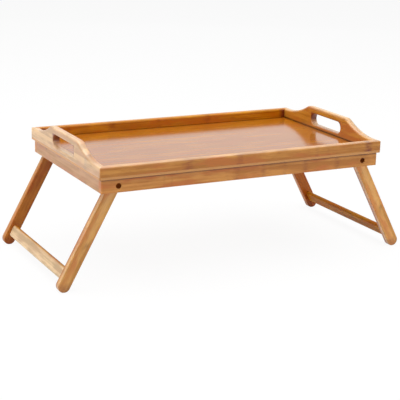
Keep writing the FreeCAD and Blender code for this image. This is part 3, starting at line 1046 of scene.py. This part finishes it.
class TRAY_OT_studio(Operator):
    """Set the floor, lamps and camera"""

    bl_idname = "tray.studio"
    bl_label = "Studio"

    def execute(self, context):
        setup = context.scene.tray_studio
        lay_floor(setup.paper)
        light_world(setup.sky_level)
        hang_lamp("top_lamp", (0.0, 0.0, 2.2), 3.4, setup.top_power)
        hang_lamp("left_lamp", (-2.6, 0.4, 0.75), 1.4, setup.left_power)
        hang_lamp("front_lamp", (0.9, -2.5, 1.1), 1.7, setup.front_power)
        hang_lamp("rim_lamp", (1.25, 2.4, 0.95), 1.7, setup.rim_power)
        set_camera(setup)
        context.scene.view_settings.view_transform = "Standard"
        return {"FINISHED"}


# ---- Studio ----

FLOOR_RADIUS = 14.0
# How much flat white the camera sees on the floor, and how strong the white is that gloss mirrors.
PAPER_WHITE = 0.93
MIRRORED_WHITE = 0.8
LAMP_TARGET = Vector((0, 0, 0.12))
# The picture's side and the point that the camera's axis meets, in pixels from its top left.
PICTURE_SIDE = 400.0
AXIS_X = 199.336
AXIS_Y = 200.646


def seen_as_paper(wire, lit, paper):
    """Mixes lit shading with flat paper white, for rays that see the background."""
    rays = wire.add("ShaderNodeLightPath")
    seen = wire.math("MAXIMUM", rays.outputs["Is Camera Ray"], rays.outputs["Is Glossy Ray"])
    seen = wire.math("MAXIMUM", seen, rays.outputs["Is Transmission Ray"])
    blend = wire.add("ShaderNodeMixShader")
    wire.put(wire.math("MULTIPLY", seen, paper), blend.inputs[0])
    wire.put(lit, blend.inputs[1])
    return blend


def lay_floor(color):
    """A wide pale floor that keeps the table's soft shadow."""
    bm = bmesh.new()
    bmesh.ops.create_circle(bm, cap_ends=True, segments=96, radius=FLOOR_RADIUS)
    mesh = bpy.data.meshes.new("floor")
    bm.to_mesh(mesh)
    bm.free()
    floor = bpy.data.objects.new("floor", mesh)
    bpy.context.scene.collection.objects.link(floor)
    material = bpy.data.materials.new("floor_paper")
    wire = Wiring(material)
    matte = wire.add("ShaderNodeBsdfDiffuse")
    matte.inputs["Color"].default_value = (*color, 1.0)
    glow = wire.add("ShaderNodeEmission")
    blend = seen_as_paper(wire, matte.outputs[0], PAPER_WHITE)
    wire.put(glow.outputs[0], blend.inputs[2])
    wire.put(blend.outputs[0], wire.add("ShaderNodeOutputMaterial").inputs["Surface"])
    mesh.materials.append(material)


def light_world(level):
    """Even light from all round, seen as plain white."""
    world = bpy.data.worlds.new("studio_world")
    bpy.context.scene.world = world
    wire = Wiring(world)
    light = wire.add("ShaderNodeBackground")
    light.inputs["Strength"].default_value = level
    white = wire.add("ShaderNodeBackground")
    white.inputs["Color"].default_value = (1.0, 1.0, 1.0, 1.0)
    straight = wire.add("ShaderNodeLightPath").outputs["Is Camera Ray"]
    wire.put(wire.ramp(straight, 0.0, 1.0, MIRRORED_WHITE, 1.0), white.inputs["Strength"])
    blend = seen_as_paper(wire, light.outputs[0], 1.0)
    wire.put(white.outputs[0], blend.inputs[2])
    wire.put(blend.outputs[0], wire.add("ShaderNodeOutputWorld").inputs["Surface"])


def hang_lamp(name, place, size, power):
    """A square area lamp that points at the tray."""
    light = bpy.data.lights.new(name, "AREA")
    light.shape = "SQUARE"
    light.size = size
    light.energy = power
    lamp = bpy.data.objects.new(name, light)
    lamp.location = place
    aim = LAMP_TARGET - lamp.location
    lamp.rotation_euler = aim.to_track_quat("-Z", "Y").to_euler()
    bpy.context.scene.collection.objects.link(lamp)


def set_camera(setup):
    """The camera stands in front to the left, a little above the tray."""
    turn, rise = setup.azimuth, setup.elevation
    back = Vector((math.sin(turn) * math.cos(rise), -math.cos(turn) * math.cos(rise), math.sin(rise)))
    right = Vector((math.cos(turn), math.sin(turn), 0))
    up = back.cross(right)
    rolled_right = right * math.cos(setup.roll) + up * math.sin(setup.roll)
    rolled_up = up * math.cos(setup.roll) - right * math.sin(setup.roll)
    data = bpy.data.cameras.new("camera")
    data.sensor_width = 36.0
    data.lens = setup.focal_length
    data.shift_x = (PICTURE_SIDE / 2 - AXIS_X) / PICTURE_SIDE
    data.shift_y = (AXIS_Y - PICTURE_SIDE / 2) / PICTURE_SIDE
    camera = bpy.data.objects.new("camera", data)
    axes = Matrix((rolled_right, rolled_up, back)).transposed()
    place = Vector(setup.target) + back * setup.distance
    camera.matrix_world = Matrix.Translation(place) @ axes.to_4x4()
    bpy.context.scene.collection.objects.link(camera)
    bpy.context.scene.camera = camera


# ---- Add-on ----

class TRAY_PT_table(Panel):
    """Lists the table's pieces in the sidebar"""

    bl_idname = "TRAY_PT_table"
    bl_label = "Bed Tray Table"
    bl_space_type = "VIEW_3D"
    bl_region_type = "UI"
    bl_category = "Tray Table"

    def draw(self, context):
        layout = self.layout
        for group in (context.scene.tray_sizes, context.scene.tray_looks, context.scene.tray_studio):
            box = layout.box()
            for key in group.bl_rna.properties.keys():
                if key not in ("rna_type", "name"):
                    box.prop(group, key)
        for operator in OPERATORS:
            layout.operator(operator.bl_idname)


GROUPS = (ShapeSizes, BambooLooks, StudioSetup)
OPERATORS = (
    TRAY_OT_rails, TRAY_OT_end_boards, TRAY_OT_panel, TRAY_OT_aprons, TRAY_OT_legs,
    TRAY_OT_crossbars, TRAY_OT_hardware, TRAY_OT_studio,
)


def register():
    for cls in GROUPS + OPERATORS + (TRAY_PT_table,):
        bpy.utils.register_class(cls)
    bpy.types.Scene.tray_sizes = PointerProperty(type=ShapeSizes)
    bpy.types.Scene.tray_looks = PointerProperty(type=BambooLooks)
    bpy.types.Scene.tray_studio = PointerProperty(type=StudioSetup)


def unregister():
    for key in ("tray_sizes", "tray_looks", "tray_studio"):
        delattr(bpy.types.Scene, key)
    for cls in reversed(GROUPS + OPERATORS + (TRAY_PT_table,)):
        bpy.utils.unregister_class(cls)


def main():
    register()
    bpy.ops.tray.rails()
    bpy.ops.tray.end_boards()
    bpy.ops.tray.panel()
    bpy.ops.tray.aprons()
    bpy.ops.tray.legs()
    bpy.ops.tray.crossbars()
    bpy.ops.tray.hardware()
    bpy.ops.tray.studio()


if __name__ == "__main__":
    main()
